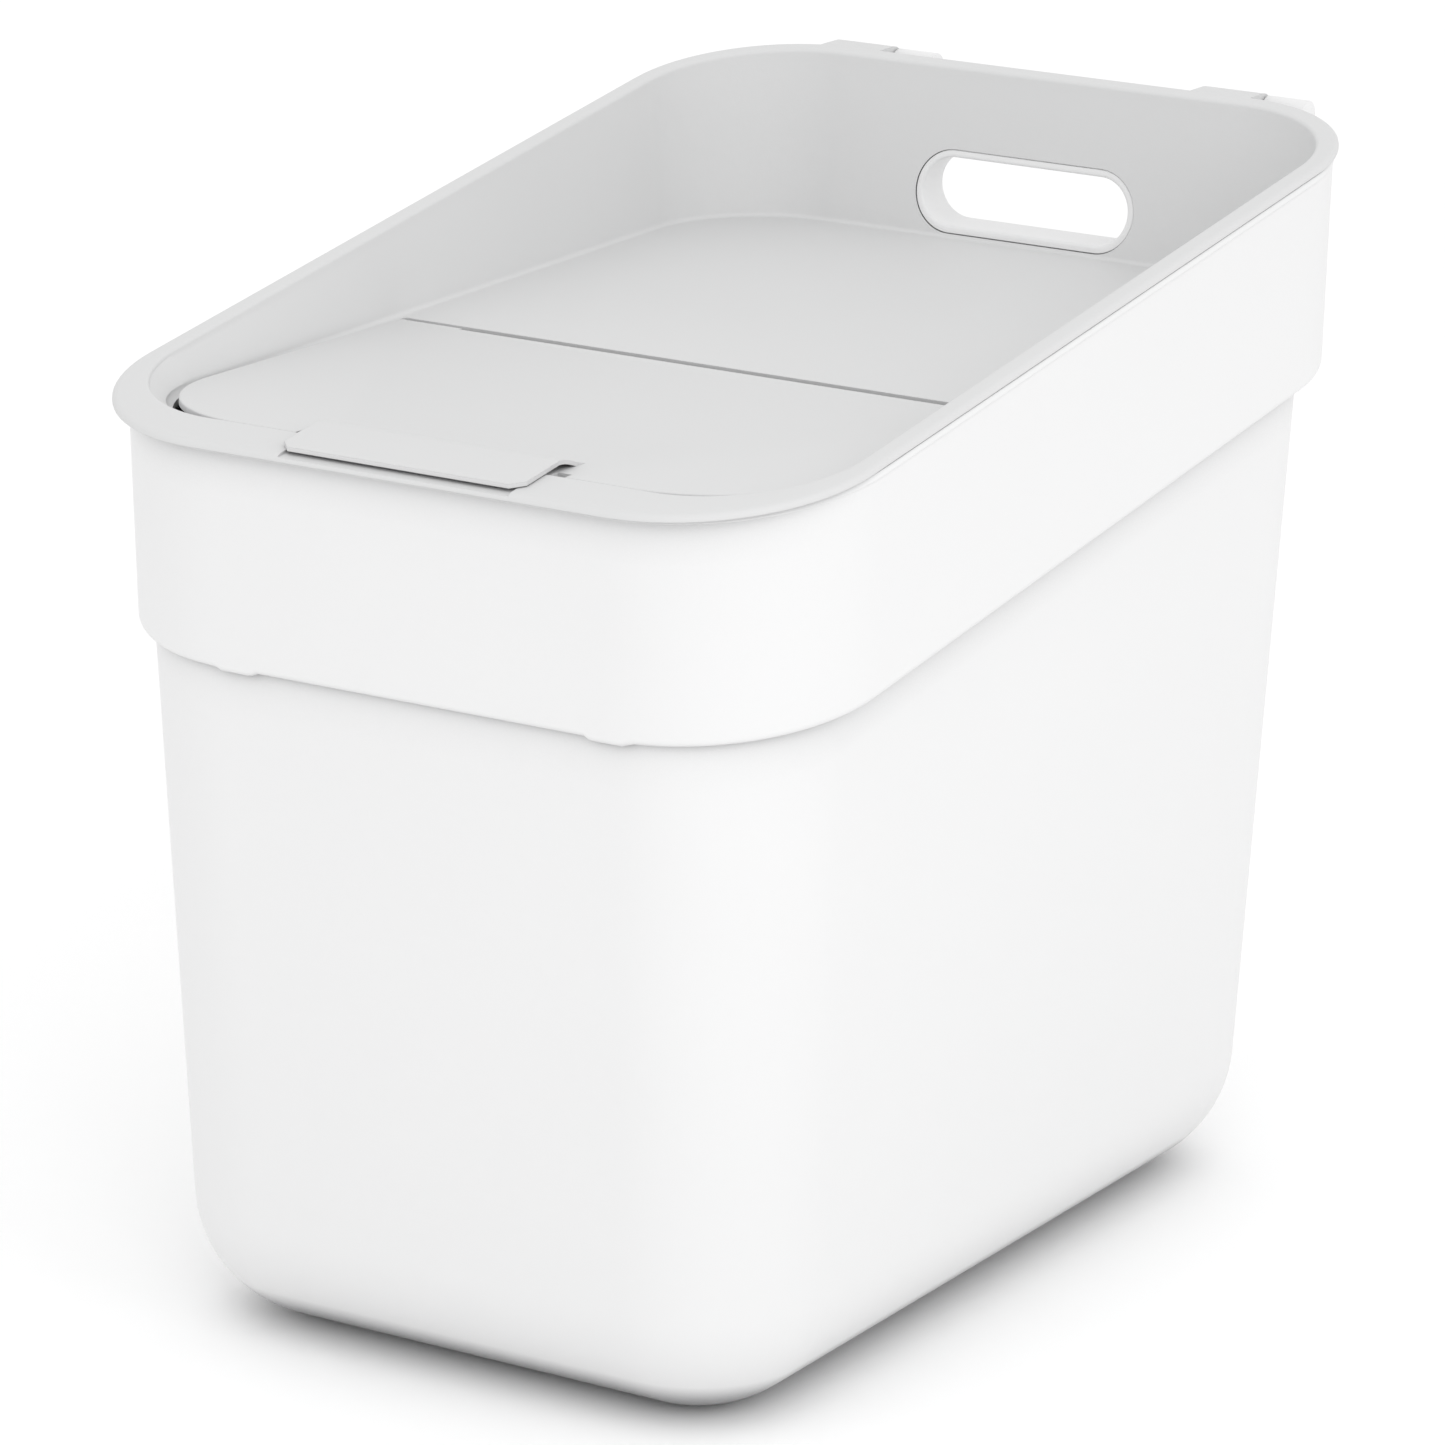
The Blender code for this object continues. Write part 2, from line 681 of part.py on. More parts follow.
def flap_barrel(side, tools):
    """Round rear end of one hinge ear, with its stub pin."""
    inner = side * (FLAP_HALF - FLAP_EAR_LENGTH)
    outer = side * (FLAP_HALF - BARREL_STEP)
    tip = side * (FLAP_HALF + FLAP_GAP + FLAP_PIN_LENGTH)
    root = side * (FLAP_HALF - JOIN)
    place = (FLAP_AXIS_Y, FLAP_AXIS_Z)
    return [
        rod("flap_barrel", *sorted((inner, outer)), *place, FLAP_BARREL_RADIUS, tools),
        rod("flap_pin", *sorted((root, tip)), *place, FLAP_PIN_RADIUS, tools),
    ]


def tab_height(y, drop=0.0):
    """Top of the thumb tab: parallel to the rim over the band, then a ramp down to the flap."""
    over_band = TAB_CLEARANCE + TAB_THICKNESS
    ramp_start = FLAP_FRONT_Y + TAB_ROOT
    share = min(max((y - ramp_start) / TAB_RAMP, 0.0), 1.0)
    blend = share * share * (3 - 2 * share)
    high = rim_z(min(y, ramp_start), -over_band)
    return (1 - blend) * high + blend * flap_z(y, FLUSH_STEP) - drop


def thumb_tab(tools):
    half = TAB_WIDTH / 2
    front = -LENGTH / 2 + TAB_SETBACK
    ramp_start = FLAP_FRONT_Y + TAB_ROOT
    ramp = [ramp_start + TAB_RAMP * i / RAMP_STEPS for i in range(RAMP_STEPS + 1)]
    lengths = [front] + ramp
    top = [(y, tab_height(y)) for y in reversed(lengths)]
    bottom = [(y, tab_height(y, TAB_THICKNESS)) for y in lengths]
    tab = bar("thumb_tab", bottom + top, -half, half, tools)
    plan = [
        (-half + TAB_CHAMFER, front - FLUSH_STEP),
        (half - TAB_CHAMFER, front - FLUSH_STEP),
        (half + FLUSH_STEP, front + TAB_CHAMFER),
        (half + FLUSH_STEP, ramp[-1] + MM),
        (-half - FLUSH_STEP, ramp[-1] + MM),
        (-half - FLUSH_STEP, front + TAB_CHAMFER),
    ]
    outline = prism(
        "tab_outline", plan, lambda y: rim_z(y, TALL_CUT), lambda y: rim_z(y, -TALL_CUT), tools
    )
    combine(tab, [outline], "INTERSECT")
    bake_modifiers(tab)
    return tab


def skirt(tools):
    """Stiffening wall under the flap, just inside its edge."""

    def ring(inset):
        return rounded(
            FLAP_HALF - inset,
            FLAP_FRONT_Y + inset,
            FLAP_AXIS_Y - FLAP_BARREL_RADIUS - inset / 2,
            OPENING_FRONT_RADIUS + FLAP_EXTRA_RADIUS - inset,
            SKIRT_REAR_RADIUS,
        )

    outer = prism(
        "skirt_outer",
        ring(SKIRT_INSET),
        lambda y: flap_z(y, FLAP_THICKNESS + SKIRT_HEIGHT),
        lambda y: flap_z(y, FLAP_THICKNESS / 2),
        tools,
    )
    inner = prism(
        "skirt_inner",
        ring(SKIRT_INSET + SKIRT_WIDTH),
        lambda y: flap_z(y, FLAP_THICKNESS + 2 * SKIRT_HEIGHT),
        lambda y: flap_z(y, FLAP_THICKNESS * 0.75),
        tools,
    )
    combine(outer, [inner], "DIFFERENCE")
    bake_modifiers(outer)
    return outer


def make_flap(parts, tools, material):
    rear_y = FLAP_AXIS_Y + FLAP_GAP + 0.1 * FLAP_BARREL_RADIUS
    flap = prism(
        "flap",
        opening_outline(FLAP_GAP, FLAP_EXTRA_RADIUS, rear_y),
        lambda y: flap_z(y, FLAP_THICKNESS),
        flap_z,
        parts,
    )
    groove_y = TRAY_EDGE_Y - FLAP_GAP - FLAP_GROOVE
    half = FLAP_HALF - FLAP_EAR_LENGTH
    groove = box(
        "hinge_groove",
        (-half, groove_y, FLAP_AXIS_Z - DEEP_CUT),
        (half, TRAY_EDGE_Y, FLAP_AXIS_Z + DEEP_CUT),
        tools,
    )
    notches = []
    for side in (-1, 1):
        x_low, x_high = sorted((side * (TAB_WIDTH / 2), side * (TAB_WIDTH / 2 + NOTCH_WIDTH)))
        notches.append(
            box(
                "tab_notch",
                (x_low, FLAP_FRONT_Y - JOIN, TRAY_TOP - DEEP_CUT),
                (x_high, FLAP_FRONT_Y + NOTCH_LENGTH, rim_z(FLAP_FRONT_Y, -TALL_CUT)),
                tools,
            )
        )
    barrels = flap_barrel(-1, tools) + flap_barrel(1, tools)
    combine(flap, [skirt(tools), *barrels], "UNION")
    combine(flap, [groove, *notches], "DIFFERENCE")
    combine(flap, [thumb_tab(tools)], "UNION")
    finish(flap, material, (0, FLAP_AXIS_Y, FLAP_AXIS_Z))
    return flap


def main():
    clear_scene()
    parts = new_collection("lidded_bin")
    tools = new_collection("cutters")
    white = plastic("white_plastic", WHITE, 0.42)
    grey = plastic("grey_plastic", GREY, 0.55)
    make_body(parts, tools, white)
    lid = make_lid(parts, tools, grey)
    flap = make_flap(parts, tools, grey)
    hide_tools(tools)
    bpy.context.view_layer.update()
    flap.parent = lid
    flap.matrix_parent_inverse = lid.matrix_world.inverted()


main()
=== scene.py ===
import json
import math

import bmesh
import bpy
from mathutils import Matrix, Vector


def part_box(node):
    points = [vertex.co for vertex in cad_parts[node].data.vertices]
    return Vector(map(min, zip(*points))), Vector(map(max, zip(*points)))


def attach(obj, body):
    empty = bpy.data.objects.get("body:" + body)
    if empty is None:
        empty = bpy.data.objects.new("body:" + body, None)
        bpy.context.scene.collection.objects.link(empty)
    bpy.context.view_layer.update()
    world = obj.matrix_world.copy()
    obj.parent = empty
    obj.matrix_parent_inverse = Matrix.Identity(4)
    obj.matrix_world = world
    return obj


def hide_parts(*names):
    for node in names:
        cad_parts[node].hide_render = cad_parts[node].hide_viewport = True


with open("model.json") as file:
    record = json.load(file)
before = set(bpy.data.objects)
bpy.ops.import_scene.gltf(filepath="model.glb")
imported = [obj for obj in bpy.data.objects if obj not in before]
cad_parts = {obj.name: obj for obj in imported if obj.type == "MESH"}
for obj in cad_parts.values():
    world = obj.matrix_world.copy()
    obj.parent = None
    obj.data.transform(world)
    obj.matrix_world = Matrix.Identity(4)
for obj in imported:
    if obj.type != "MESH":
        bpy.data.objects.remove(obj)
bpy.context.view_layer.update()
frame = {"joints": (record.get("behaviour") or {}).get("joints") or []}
print("frame loaded")

mm = 0.001
joints = {joint["name"]: Vector(joint["pos_m"]) for joint in frame["joints"]}
lidHinge = joints["lid_hinge"]
flapHinge = joints["flap_hinge"]
lidLow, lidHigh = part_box("lid_frame")

# The rim is the lid's outer outline, on a plane that rises to the rear.
rim = {
    "half": lidHigh.x,
    "front": lidLow.y,
    "rear": -lidLow.y,
    "frontHeight": 266.2 * mm,
    "rearHeight": lidHinge.z + 5.8 * mm,
    "frontRadius": 51.0 * mm,
    "rearRadius": 47.5 * mm,
}
slope = (rim["rearHeight"] - rim["frontHeight"]) / (rim["rear"] - rim["front"])
cornerSteps = 22
sideSteps = 8
frontSteps = 96
rodSteps = 48
margin = 10 * mm


def rimZ(y, drop=0.0):
    return rim["frontHeight"] + slope * (y - rim["front"]) - drop


def cornerArc(x, y, radius, start):
    centreX = x - math.copysign(radius, x)
    centreY = y - math.copysign(radius, y)
    angles = [math.radians(start + 90 * i / cornerSteps) for i in range(cornerSteps + 1)]
    return [(centreX + radius * math.cos(a), centreY + radius * math.sin(a)) for a in angles]


# Rounded rectangle in plan, counter-clockwise, with points along the straight sides.
def rounded(half, front, rear, frontRadius, rearRadius):
    points = cornerArc(half, rear, rearRadius, 0)
    points += cornerArc(-half, rear, rearRadius, 90)
    for i in range(1, sideSteps):
        share = i / sideSteps
        points.append((-half, (rear - rearRadius) * (1 - share) + (front + frontRadius) * share))
    points += cornerArc(-half, front, frontRadius, 180)
    reach = half - frontRadius
    points += [(reach * (2 * i / frontSteps - 1), front) for i in range(1, frontSteps)]
    points += cornerArc(half, front, frontRadius, 270)
    for i in range(1, sideSteps):
        share = i / sideSteps
        points.append((half, (front + frontRadius) * (1 - share) + (rear - rearRadius) * share))
    return points


def insetRim(inset, frontRadius, rearRadius):
    side, front, rear = inset
    return rounded(
        rim["half"] - side, rim["front"] + front, rim["rear"] - rear, frontRadius, rearRadius
    )


def onRim(points, drop):
    return [Vector((x, y, rimZ(y, drop))) for x, y in points]


def level(points, z):
    return [Vector((x, y, z)) for x, y in points]


def newObject(name, mesh):
    made = bpy.data.objects.new(name, mesh)
    bpy.context.scene.collection.objects.link(made)
    return made


def loft(name, rings, closeStart=False, closeEnd=False):
    mesh = bpy.data.meshes.new(name)
    shape = bmesh.new()
    rows = [[shape.verts.new(point) for point in ring] for ring in rings]
    for lower, upper in zip(rows, rows[1:]):
        for i in range(len(lower)):
            j = (i + 1) % len(lower)
            shape.faces.new((lower[i], lower[j], upper[j], upper[i]))
    if closeStart:
        shape.faces.new(list(reversed(rows[0])))
    if closeEnd:
        shape.faces.new(rows[-1])
    bmesh.ops.recalc_face_normals(shape, faces=shape.faces)
    shape.to_mesh(mesh)
    shape.free()
    return newObject(name, mesh)


def prism(name, points, low, high):
    bottom = [Vector((x, y, low(y))) for x, y in points]
    top = [Vector((x, y, high(y))) for x, y in points]
    return loft(name, [bottom, top], True, True)


def bar(name, profile, xLow, xHigh):
    ends = [[Vector((x, y, z)) for y, z in profile] for x in (xLow, xHigh)]
    return loft(name, ends, True, True)


# A round bar along X with rounded end edges.
def rod(name, xLow, xHigh, y, z, radius, edge=0.3 * mm):
    start = [(0, -edge), (0.3 * edge, -0.3 * edge), (edge, 0)]
    places = [(xLow + along, radius + change) for along, change in start]
    places += [(xHigh - along, radius + change) for along, change in reversed(start)]
    rings = []
    for x, size in places:
        angles = [2 * math.pi * i / rodSteps for i in range(rodSteps)]
        rings.append(
            [Vector((x, y + size * math.cos(a), z + size * math.sin(a))) for a in angles]
        )
    return loft(name, rings, True, True)


def combine(target, tools, operation):
    for tool in tools:
        change = target.modifiers.new(operation.lower(), "BOOLEAN")
        change.operation = operation
        change.solver = "EXACT"
        change.object = tool


def bake(target):
    bpy.context.view_layer.update()
    graph = bpy.context.evaluated_depsgraph_get()
    result = bpy.data.meshes.new_from_object(target.evaluated_get(graph))
    target.modifiers.clear()
    target.data = result


def dropTools(tools):
    for tool in tools:
        bpy.data.objects.remove(tool, do_unlink=True)


def dress(piece, material):
    piece.data.shade_smooth()
    piece.data.set_sharp_from_angle(angle=math.radians(32))
    piece.data.materials.clear()
    piece.data.materials.append(material)


def stadium(width, height, steps=18):
    radius = height / 2
    reach = width / 2 - radius
    points = []
    for side, start in ((1, -90), (-1, 90)):
        for i in range(2 * steps + 1):
            angle = math.radians(start + 180 * i / (2 * steps))
            points.append((side * reach + radius * math.cos(angle), radius * math.sin(angle)))
    return points


# Lid sizes
trayTop = rim["rearHeight"] - 51.6 * mm
bandWidth = (6.2 * mm, 16.2 * mm, 6.8 * mm)
bandRadii = (40.0 * mm, 42.0 * mm)
trayLean = (5.7 * mm, 1.2 * mm, 8.8 * mm)
trayFillet = 1.6 * mm
lidWall = 1.9 * mm
openingHalf = rim["half"] - 14.6 * mm
openingFront = rim["front"] + 16.8 * mm
trayEdge = openingFront + 136.5 * mm
slotSize = (75.5 * mm, 25.1 * mm)
slotZ = trayTop + 1.2 * mm + slotSize[1] / 2

hinge = {
    "centres": (-62.5 * mm, 65.5 * mm),
    "halfLength": 18.0 * mm,
    "strapLength": 21.8 * mm,
    "gap": 0.4 * mm,
    "knuckleLength": 13.8 * mm,
    "knuckleRadius": 4.5 * mm,
    "pinRadius": 2.0 * mm,
    "pinRoot": 3.0 * mm,
    "pinReach": 12.4 * mm,
    "boreRadius": 2.3 * mm,
    "boreMouth": 1.2 * mm,
    "boreEndWall": 1.0 * mm,
}
hingeStarts = [centre - hinge["halfLength"] for centre in hinge["centres"]]

# Body sizes
bodyTopDrop = lidWall + 0.4 * mm
collarHeight = 66.4 * mm
collarInset = (0.7 * mm, 5.2 * mm, 0.7 * mm)
collarRadii = (53.0 * mm, 49.0 * mm)
collarDraft = math.tan(math.radians(1.5))
bodyWall = 2.0 * mm


def lidRearY(z):
    topY = rim["rear"] - bandWidth[2]
    topZ = rimZ(topY)
    return topY - trayLean[2] * (topZ - z) / (topZ - trayTop)


def collarRearY(z):
    lean = (rimZ(rim["rear"]) - z - bodyTopDrop) * collarDraft
    return rim["rear"] - collarInset[2] - lean


# A solid through the rear walls, from (width, height, y as a function of z).
def slotSolid(name, sections):
    rings = []
    for width, height, place in sections:
        outline = stadium(width, height)
        rings.append([Vector((x, place(slotZ + z), slotZ + z)) for x, z in outline])
    return loft(name, rings, True, True)


# Shared shader effects


def nodeGroup(name, outputs):
    group = bpy.data.node_groups.new(name, "ShaderNodeTree")
    for label, kind in outputs:
        group.interface.new_socket(name=label, in_out="OUTPUT", socket_type=kind)
    return group


# Fine moulded grain as a height mask, and a slow drift in tone.
def makeGrain():
    group = nodeGroup("mouldedGrain", [("Height", "NodeSocketFloat"), ("Tone", "NodeSocketFloat")])
    group.interface.new_socket(name="Scale", in_out="INPUT", socket_type="NodeSocketFloat")
    nodes, links = group.nodes, group.links
    inputs = nodes.new("NodeGroupInput")
    outputs = nodes.new("NodeGroupOutput")
    place = nodes.new("ShaderNodeTexCoord")
    fine = nodes.new("ShaderNodeTexNoise")
    fine.inputs["Detail"].default_value = 3.0
    fine.inputs["Roughness"].default_value = 0.6
    slow = nodes.new("ShaderNodeTexNoise")
    slow.inputs["Scale"].default_value = 14.0
    slow.inputs["Detail"].default_value = 2.0
    links.new(place.outputs["Object"], fine.inputs["Vector"])
    links.new(place.outputs["Object"], slow.inputs["Vector"])
    links.new(inputs.outputs["Scale"], fine.inputs["Scale"])
    links.new(fine.outputs["Fac"], outputs.inputs["Height"])
    links.new(slow.outputs["Fac"], outputs.inputs["Tone"])
    return group


# Contact shade held in narrow gaps and inside corners.
def makeGapShade():
    group = nodeGroup("gapShade", [("Open", "NodeSocketFloat")])
    group.interface.new_socket(name="Distance", in_out="INPUT", socket_type="NodeSocketFloat")
    nodes, links = group.nodes, group.links
    inputs = nodes.new("NodeGroupInput")
    outputs = nodes.new("NodeGroupOutput")
    occlusion = nodes.new("ShaderNodeAmbientOcclusion")
    occlusion.samples = 6
    links.new(inputs.outputs["Distance"], occlusion.inputs["Distance"])
    # The hand slot stays bright, because light reaches it from both ends.
    place = nodes.new("ShaderNodeTexCoord")
    axes = nodes.new("ShaderNodeSeparateXYZ")
    links.new(place.outputs["Object"], axes.inputs["Vector"])
    region = nodes.new("ShaderNodeMath")
    region.operation = "MULTIPLY"
    spans = {"Y": (152 * mm, 155 * mm), "Z": (slotZ - 18 * mm, slotZ - 16 * mm)}
    for i, (axis, (low, high)) in enumerate(spans.items()):
        span = nodes.new("ShaderNodeMapRange")
        span.inputs["From Min"].default_value = low
        span.inputs["From Max"].default_value = high
        links.new(axes.outputs[axis], span.inputs["Value"])
        links.new(span.outputs["Result"], region.inputs[i])
    bright = nodes.new("ShaderNodeMath")
    bright.operation = "MAXIMUM"
    links.new(occlusion.outputs["AO"], bright.inputs[0])
    links.new(region.outputs[0], bright.inputs[1])
    links.new(bright.outputs[0], outputs.inputs["Open"])
    return group


grain = makeGrain()
gapShade = makeGapShade()


def plastic(name, look):
    material = bpy.data.materials.new(name)
    material.use_nodes = True
    nodes, links = material.node_tree.nodes, material.node_tree.links
    shader = nodes["Principled BSDF"]
    texture = nodes.new("ShaderNodeGroup")
    texture.node_tree = grain
    texture.inputs["Scale"].default_value = look["grainScale"]
    gap = nodes.new("ShaderNodeGroup")
    gap.node_tree = gapShade
    gap.inputs["Distance"].default_value = look["shadeDistance"]

    tint = nodes.new("ShaderNodeMix")
    tint.data_type = "RGBA"
    tint.inputs["A"].default_value = (*look["dark"], 1.0)
    tint.inputs["B"].default_value = (*look["light"], 1.0)
    links.new(texture.outputs["Tone"], tint.inputs["Factor"])

    # Painted shade: the gap colour is mixed into the base colour where the occlusion mask finds
    # narrow gaps and inside corners.
    shaded = nodes.new("ShaderNodeMix")
    shaded.data_type = "RGBA"
    shaded.inputs["A"].default_value = (*look["gap"], 1.0)
    ease = nodes.new("ShaderNodeMapRange")
    ease.inputs["From Min"].default_value = look["shadeFull"]
    ease.inputs["From Max"].default_value = look["shadeReach"]
    links.new(gap.outputs["Open"], ease.inputs["Value"])
    links.new(ease.outputs["Result"], shaded.inputs["Factor"])
    links.new(tint.outputs["Result"], shaded.inputs["B"])
    links.new(shaded.outputs["Result"], shader.inputs["Base Color"])

    rough = nodes.new("ShaderNodeMapRange")
    rough.inputs["To Min"].default_value = look["roughness"] - 0.04
    rough.inputs["To Max"].default_value = look["roughness"] + 0.04
    links.new(texture.outputs["Tone"], rough.inputs["Value"])
    links.new(rough.outputs["Result"], shader.inputs["Roughness"])

    edge = nodes.new("ShaderNodeBevel")
    edge.samples = 4
    edge.inputs["Radius"].default_value = look["edge"]
    relief = nodes.new("ShaderNodeBump")
    relief.inputs["Strength"].default_value = look["relief"]
    relief.inputs["Distance"].default_value = 0.0001
    links.new(texture.outputs["Height"], relief.inputs["Height"])
    links.new(edge.outputs["Normal"], relief.inputs["Normal"])
    links.new(relief.outputs["Normal"], shader.inputs["Normal"])
    shader.inputs["IOR"].default_value = 1.46
    shader.inputs["Specular IOR Level"].default_value = look["specular"]
    return material


whitePlastic = plastic(
    "bodyWhite",
    {
        "light": (0.755, 0.755, 0.756),
        "dark": (0.742, 0.742, 0.744),
        # The gap colour is painted shade, laid into gaps, corners, under the collar and near the
        # floor.
        "gap": (0.30, 0.30, 0.305),
        "shadeFull": 0.35,
        "shadeReach": 0.97,
        "shadeDistance": 14.0 * mm,
        "roughness": 0.38,
        "relief": 0.05,
        "grainScale": 2600.0,
        "specular": 0.45,
        "edge": 0.0003,
    },
)
greyPlastic = plastic(
    "lidGrey",
    {
        "light": (0.634, 0.635, 0.636),
        "dark": (0.618, 0.620, 0.621),
        # The gap colour is painted shade, laid into gaps and corners.
        "gap": (0.45, 0.45, 0.455),
        "shadeFull": 0.05,
        "shadeReach": 0.65,
        "shadeDistance": 6.0 * mm,
        "roughness": 0.55,
        "relief": 0.22,
        "grainScale": 1900.0,
        "specular": 0.4,
        "edge": 0.0003,
    },
)
print("materials made")

# Body

bodyShape = {
    "baseInset": (18.2 * mm, 18.7 * mm, 28.1 * mm),
    "draft": tuple(math.tan(math.radians(a)) for a in (2.46, 2.35, 4.13)),
    "baseFillet": 36.0 * mm,
    "baseRadius": 38.6 * mm,
    "cornerDraft": math.tan(math.radians(1.25)),
    "edgeRadius": 2.4 * mm,
    "beadHeight": 2.4 * mm,
    "beadDepth": 0.4 * mm,
    "sleeveWall": 2.3 * mm,
    "sleeveRecess": 0.12 * mm,
    "sleeveLip": 0.3 * mm,
    "sleeveFlare": 0.8 * mm,
    "slotGap": 0.12 * mm,
    "lugCentres": (-57.5 * mm, 62.5 * mm),
    "lugHalf": 6.8 * mm,
    "lugEase": 1.7 * mm,
    "lugDrop": 1.0 * mm,
    "lugZone": 30.0 * mm,
}


def wallOutline(z, extra=0.0):
    side, front, rear = bodyShape["baseInset"]
    a, b, c = bodyShape["draft"]
    radius = bodyShape["baseRadius"] + z * bodyShape["cornerDraft"] - extra
    inset = (side - z * a + extra, front - z * b + extra, rear - z * c + extra)
    return insetRim(inset, radius, radius)


# Where the tapered wall meets a plane that far below the rim.
def wallRing(drop, extra=0.0):
    points = wallOutline(rimZ(0.0, drop), extra)
    for _ in range(4):
        points = [wallOutline(rimZ(y, drop), extra)[i] for i, (x, y) in enumerate(points)]
    return onRim(points, drop)


def collarRing(drop, extra=0.0):
    lean = extra + (drop - bodyTopDrop) * collarDraft
    inset = tuple(side + lean for side in collarInset)
    return onRim(insetRim(inset, collarRadii[0] - lean, collarRadii[1] - lean), drop)


# How far the collar's lower edge dips at its two front catches.
def lugDrop(x, y):
    if y > rim["front"] + bodyShape["lugZone"]:
        return 0.0
    away = min(abs(x - centre) for centre in bodyShape["lugCentres"])
    share = min(max((bodyShape["lugHalf"] - away) / bodyShape["lugEase"], 0.0), 1.0)
    return bodyShape["lugDrop"] * share * share * (3 - 2 * share)


def bodyShell():
    fillet = bodyShape["baseFillet"]
    rings = []
    filletSteps = 18
    for i in range(filletSteps + 1):
        angle = math.radians(90 * i / filletSteps)
        height = fillet * (1 - math.cos(angle))
        extra = fillet * (1 - math.sin(angle))
        rings.append(level(wallOutline(height, extra), height))
    rings.append(wallRing(collarHeight + 30 * mm))
    # A small inside fillet where the wall meets the collar's underside.
    rings.append(wallRing(collarHeight + 1.2 * mm))
    rings.append(wallRing(collarHeight + 0.3 * mm, -0.1 * mm))
    rings.append(wallRing(collarHeight, -0.5 * mm))
    edge = bodyShape["edgeRadius"]
    edgeSteps = 8
    for i in range(edgeSteps + 1):
        angle = math.radians(90 * i / edgeSteps)
        drop = collarHeight - edge * (1 - math.cos(angle))
        ring = collarRing(drop, edge * (1 - math.sin(angle)))
        rings.append([point - Vector((0, 0, lugDrop(point.x, point.y))) for point in ring])
    rings.append(collarRing(collarHeight - 6 * mm))
    beadLow = bodyTopDrop + bodyShape["beadHeight"]
    depth = bodyShape["beadDepth"]
    # The bead under the lid, from its lower edge to its top.
    bead = [(0.25, 0.0), (0.0, 0.15), (-0.3, 0.85), (-0.6, 1.0)]
    rings += [collarRing(beadLow + along * mm, -share * depth) for along, share in bead]
    crest = [(0.3, 1.0), (0.08, 0.7), (0.0, 0.2)]
    rings += [collarRing(bodyTopDrop + along * mm, -share * depth) for along, share in crest]
    shell = loft("binBody", rings, closeStart=True)
    wall = shell.modifiers.new("wall", "SOLIDIFY")
    wall.thickness = bodyWall
    wall.offset = -1.0
    wall.use_even_offset = True
    bake(shell)
    for vertex in shell.data.vertices:
        vertex.co.z = min(vertex.co.z, rimZ(vertex.co.y, bodyTopDrop))
    return shell


def block(name, low, high):
    mesh = bpy.data.meshes.new(name)
    shape = bmesh.new()
    bmesh.ops.create_cube(shape, size=1.0)
    size = Vector(high) - Vector(low)
    middle = (Vector(high) + Vector(low)) / 2
    bmesh.ops.transform(
        shape, matrix=Matrix.Translation(middle) @ Matrix.Diagonal((*size, 1.0)), verts=shape.verts
    )
    shape.to_mesh(mesh)
    shape.free()
    return newObject(name, mesh)


# The ring that lines the hand slot, with a rounded lip, and the hole through it.
def handSleeve():
    gap = bodyShape["slotGap"]
    wall = bodyShape["sleeveWall"]
    recess = bodyShape["sleeveRecess"]
    lip = bodyShape["sleeveLip"]
    flare = bodyShape["sleeveFlare"]
    outer = (slotSize[0] - 2 * gap, slotSize[1] - 2 * gap)
    inner = (outer[0] - 2 * wall, outer[1] - 2 * wall)

    def section(size, change, back):
        return (size[0] + change, size[1] + change, lambda z: lidRearY(z) + recess + back)

    ring = [(*outer, lambda z: collarRearY(z) - bodyWall / 2)]
    mouth = []
    for i in range(5):
        angle = math.radians(90 * i / 4)
        away, along = 1 - math.cos(angle), 1 - math.sin(angle)
        ring.append(section(outer, -2 * (lip * away), lip * along))
        mouth.append(section(inner, 2 * flare * along, flare * away))
    front = (inner[0] + 2 * flare, inner[1] + 2 * flare, lambda z: lidRearY(z) - margin / 2)
    rear = (*inner, lambda z: lidHinge.y)
    hole = slotSolid("handHole", [rear] + list(reversed(mouth)) + [front])
    return slotSolid("handSleeve", ring), hole


def makeBody():
    body = bodyShell()
    sleeve, hole = handSleeve()
    added = [sleeve]
    cut = [hole]
    root = collarRearY(lidHinge.z) - bodyWall / 2
    radius = hinge["knuckleRadius"]
    for start in hingeStarts:
        low = start + hinge["strapLength"] + hinge["gap"]
        high = low + hinge["knuckleLength"]
        bracket = [
            (root, lidHinge.z - 2.2 * radius),
            (root + bodyWall, lidHinge.z - 2.2 * radius),
            (lidHinge.y + 0.6 * radius, lidHinge.z - 0.8 * radius),
            (lidHinge.y, lidHinge.z + 0.6 * radius),
            (root, lidHinge.z + 0.4 * radius),
        ]
        added.append(bar("bracket", bracket, low, high))
        added.append(rod("knuckle", low, high, lidHinge.y, lidHinge.z, radius))
        ends = (low - hinge["boreMouth"], high - hinge["boreEndWall"])
        cut.append(rod("bore", *ends, lidHinge.y, lidHinge.z, hinge["boreRadius"], 0))
    combine(body, added, "UNION")
    combine(body, cut, "DIFFERENCE")
    bake(body)
    dropTools(added + cut)
    dress(body, whitePlastic)
    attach(body, "bin")
    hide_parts("bin_body")


makeBody()
print("body made")

# Lid frame

lidShape = {
    "slotBevel": 1.05 * mm,
    "cornerStep": (2.0 * mm, 4.0 * mm),
    "bandEdge": 1.1 * mm,
    "roll": (1.8 * mm, 1.2 * mm),
    "scoopDepth": 0.7 * mm,
    "scoopLength": 8.0 * mm,
    "scoopHalf": 37.0 * mm,
    "openingRadius": 38.0 * mm,
    "flapPinRadius": 1.4 * mm,
    "flapBoreRadius": 1.7 * mm,
    "flapBoreDepth": 4.3 * mm,
    "bossHalf": 3.64 * mm,
    "bossWidth": 3.6 * mm,
    "bossTopDrop": 0.3 * mm,
    "strapReach": 0.6 * mm,
    "strapStep": 0.4 * mm,
    "strapRise": 0.85 * mm,
    "strapEnd": ((0.0, 1.3), (0.7, 0.6), (1.5, 0.05), (2.0, 0.0)),
    "trayEdgeRound": 1.7 * mm,
}


def bandRing(extra, drop):
    inset = tuple(width + extra for width in bandWidth)
    return onRim(insetRim(inset, bandRadii[0] - extra, bandRadii[1] - extra), drop)


